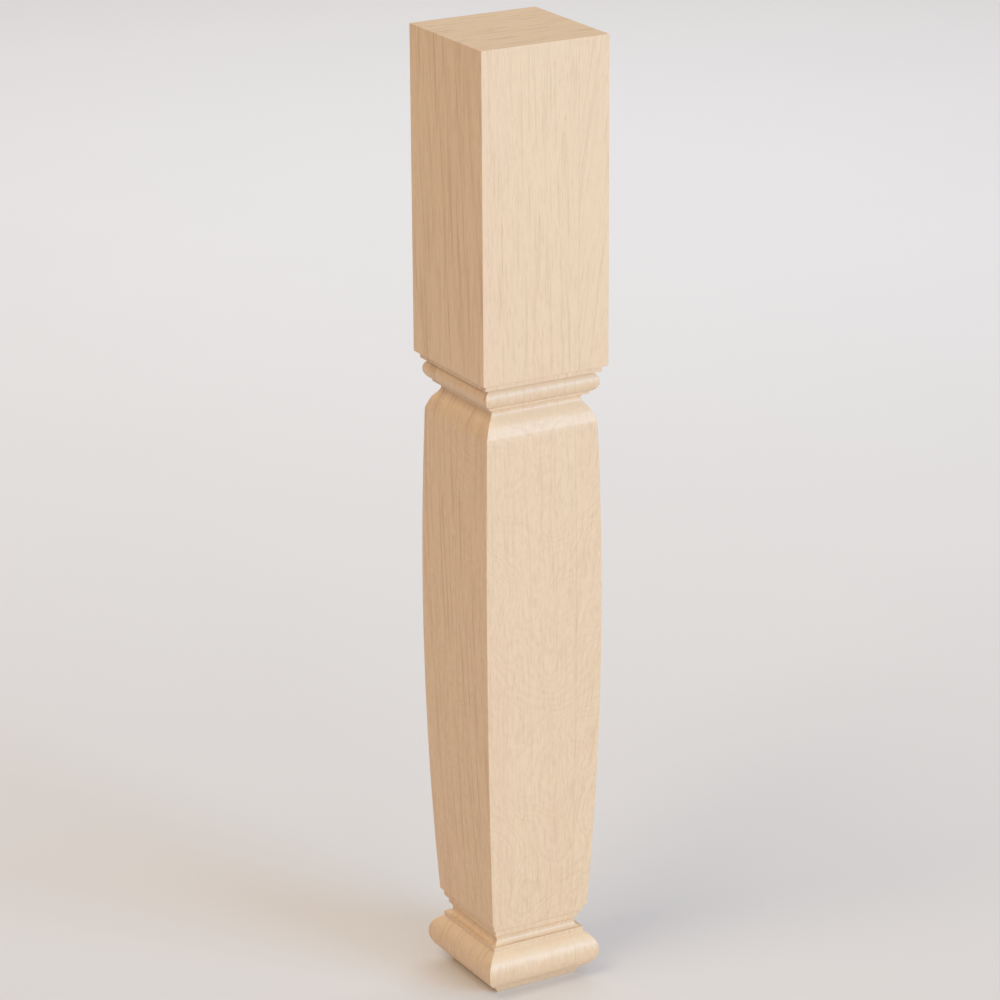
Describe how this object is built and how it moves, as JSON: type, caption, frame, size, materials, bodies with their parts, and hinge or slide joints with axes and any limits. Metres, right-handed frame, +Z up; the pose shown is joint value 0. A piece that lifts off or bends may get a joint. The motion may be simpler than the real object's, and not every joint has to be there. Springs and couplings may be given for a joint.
{
  "type": "square column",
  "caption": "Square wooden column with a plain block at the head, a run of small mouldings, a swelling four-sided shaft and a moulded base on a tapered foot.",
  "frame": {"origin": "middle of the foot's underside, on the ground", "axes": "+Z up the column, the front face towards -Y, the right face towards +X; all four sides are alike"},
  "size_m": [0.127, 0.127, 0.8953],
  "materials": {
    "maple": "sanded smooth, unfinished, with fine upright grain"
  },
  "bodies": {
    "root": {"column": "maple"}
  },
  "joints": []
}
